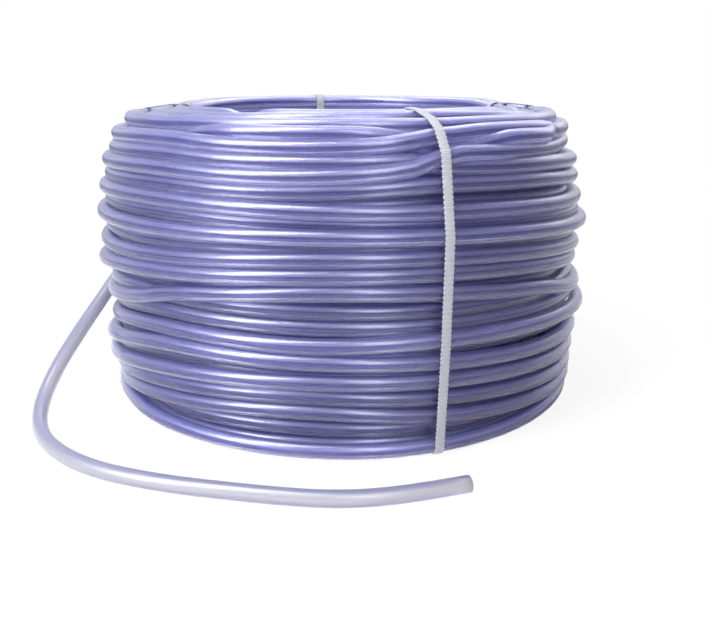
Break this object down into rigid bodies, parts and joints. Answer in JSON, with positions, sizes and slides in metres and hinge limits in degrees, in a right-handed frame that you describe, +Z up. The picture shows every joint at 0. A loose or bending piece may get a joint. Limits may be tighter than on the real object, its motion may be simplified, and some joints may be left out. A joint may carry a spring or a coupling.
{
  "type": "tied roll of clear vinyl hose",
  "caption": "Roll of clear violet-tinted vinyl hose standing on its end, tied with white woven tapes, with one open end lying loose on the floor in front.",
  "frame": {"origin": "on the roll's axis, at the surface that the roll stands on", "axes": "+Z up along the roll's axis, out of its top; +X to the right seen from the front; -Y is the front, where the loose end lies"},
  "size_m": [0.4556, 0.4856, 0.2443],
  "materials": {
    "clear_vinyl": "glossy, clear with a violet tint",
    "woven_tape": "matte plain weave"
  },
  "bodies": {
    "root": {"hose_coil": "clear_vinyl", "hose_tail": "clear_vinyl", "tape_front": "woven_tape", "tape_right": "woven_tape", "tape_back": "woven_tape", "tape_left": "woven_tape"}
  },
  "joints": []
}
